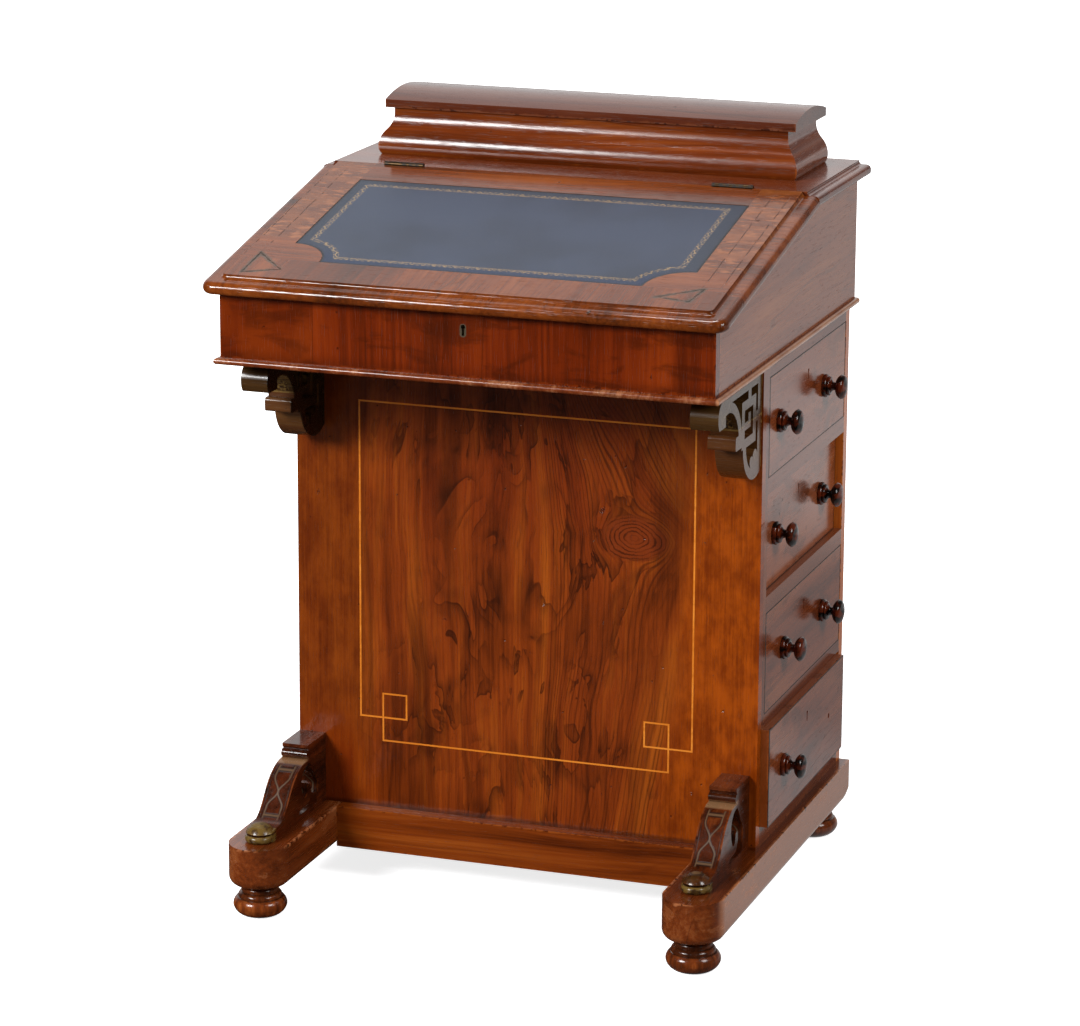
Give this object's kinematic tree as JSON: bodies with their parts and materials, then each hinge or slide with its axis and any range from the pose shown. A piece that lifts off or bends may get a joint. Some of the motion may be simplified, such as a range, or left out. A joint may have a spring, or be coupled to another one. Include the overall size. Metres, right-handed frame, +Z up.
{
  "type": "davenport desk",
  "caption": "Small Victorian writing desk: sloping leather-lined lid over a case, pedestal with side drawers, carved brackets, sledge runners on bun feet and a domed stationery box.",
  "frame": {"origin": "on the floor, midway between the outer faces of the lid and midway between its nose and the back edge of the fixed board", "axes": "+X towards the side with the real drawers, +Y towards the back, +Z up"},
  "size_m": [0.581, 0.5455, 0.8341],
  "materials": {
    "walnut_veneer": "French polished figured veneer",
    "walnut_solid": "polished",
    "boxwood": "polished inlay",
    "ebonised_wood": "polished",
    "lining_wood": "bare, waxed",
    "leather": "gilt tooled, worn",
    "brass": "aged"
  },
  "bodies": {
    "desk": {"runner_left": "walnut_solid", "runner_right": "walnut_solid", "plinth_rail_front": "walnut_solid", "plinth_rail_back": "walnut_solid", "bun_foot_front_left": "walnut_solid", "bun_foot_front_right": "walnut_solid", "bun_foot_rear_left": "walnut_solid", "bun_foot_rear_right": "walnut_solid", "scroll_bracket_left": "walnut_solid", "scroll_bracket_right": "walnut_solid", "fret_bracket_left": "walnut_solid", "fret_bracket_right": "walnut_solid", "front_panel": "walnut_veneer", "boxwood_stringing": "boxwood", "back_panel": "walnut_veneer", "left_side": "walnut_veneer", "sham_drawer_fronts": "walnut_veneer", "sham_knobs": "ebonised_wood", "front_stile": "walnut_veneer", "rear_stile": "walnut_veneer", "drawer_rails": "walnut_veneer", "drawer_bearers": "lining_wood", "pedestal_bottom": "lining_wood", "case_bottom": "walnut_solid", "base_moulding": "walnut_solid", "case_front": "walnut_veneer", "case_side_left": "walnut_veneer", "case_side_right": "walnut_veneer", "case_back": "walnut_veneer", "top_board": "walnut_veneer", "lid_lock": "brass", "box_front": "walnut_solid", "box_end_left": "walnut_solid", "box_end_right": "walnut_solid", "box_back": "walnut_veneer", "box_hinge_fixed_leaves": "brass", "lid_hinge_fixed_leaves": "brass"},
    "drawer_1": {"drawer_1_front": "walnut_veneer", "drawer_1_box": "lining_wood", "drawer_1_knobs": "ebonised_wood", "drawer_1_lock": "brass"},
    "drawer_2": {"drawer_2_front": "walnut_veneer", "drawer_2_box": "lining_wood", "drawer_2_knobs": "ebonised_wood", "drawer_2_lock": "brass"},
    "drawer_3": {"drawer_3_front": "walnut_veneer", "drawer_3_box": "lining_wood", "drawer_3_knobs": "ebonised_wood", "drawer_3_lock": "brass"},
    "drawer_4": {"drawer_4_front": "walnut_veneer", "drawer_4_box": "lining_wood", "drawer_4_knobs": "ebonised_wood", "drawer_4_lock": "brass"},
    "writing_lid": {"lid_board": "walnut_veneer", "lid_leather": "leather", "lid_hinge_moving_leaves": "brass"},
    "stationery_lid": {"box_lid": "walnut_veneer", "box_hinge_moving_leaves": "brass"}
  },
  "joints": [
    {"name": "drawer_1_slide", "type": "slide", "parent": "desk", "child": "drawer_1", "axis": [1, 0, 0], "range_m": [0, 0.33]},
    {"name": "drawer_2_slide", "type": "slide", "parent": "desk", "child": "drawer_2", "axis": [1, 0, 0], "range_m": [0, 0.34]},
    {"name": "drawer_3_slide", "type": "slide", "parent": "desk", "child": "drawer_3", "axis": [1, 0, 0], "range_m": [0, 0.33]},
    {"name": "drawer_4_slide", "type": "slide", "parent": "desk", "child": "drawer_4", "axis": [1, 0, 0], "range_m": [-0.009, 0.32]},
    {"name": "writing_lid_hinge", "type": "hinge", "parent": "desk", "child": "writing_lid", "pos_m": [0, 0.0628, 0.7666], "axis": [-1, 0, 0], "range_deg": [0, 100]},
    {"name": "stationery_lid_hinge", "type": "hinge", "parent": "desk", "child": "stationery_lid", "pos_m": [0, 0.2486, 0.8137], "axis": [-1, 0, 0], "range_deg": [0, 95]}
  ]
}
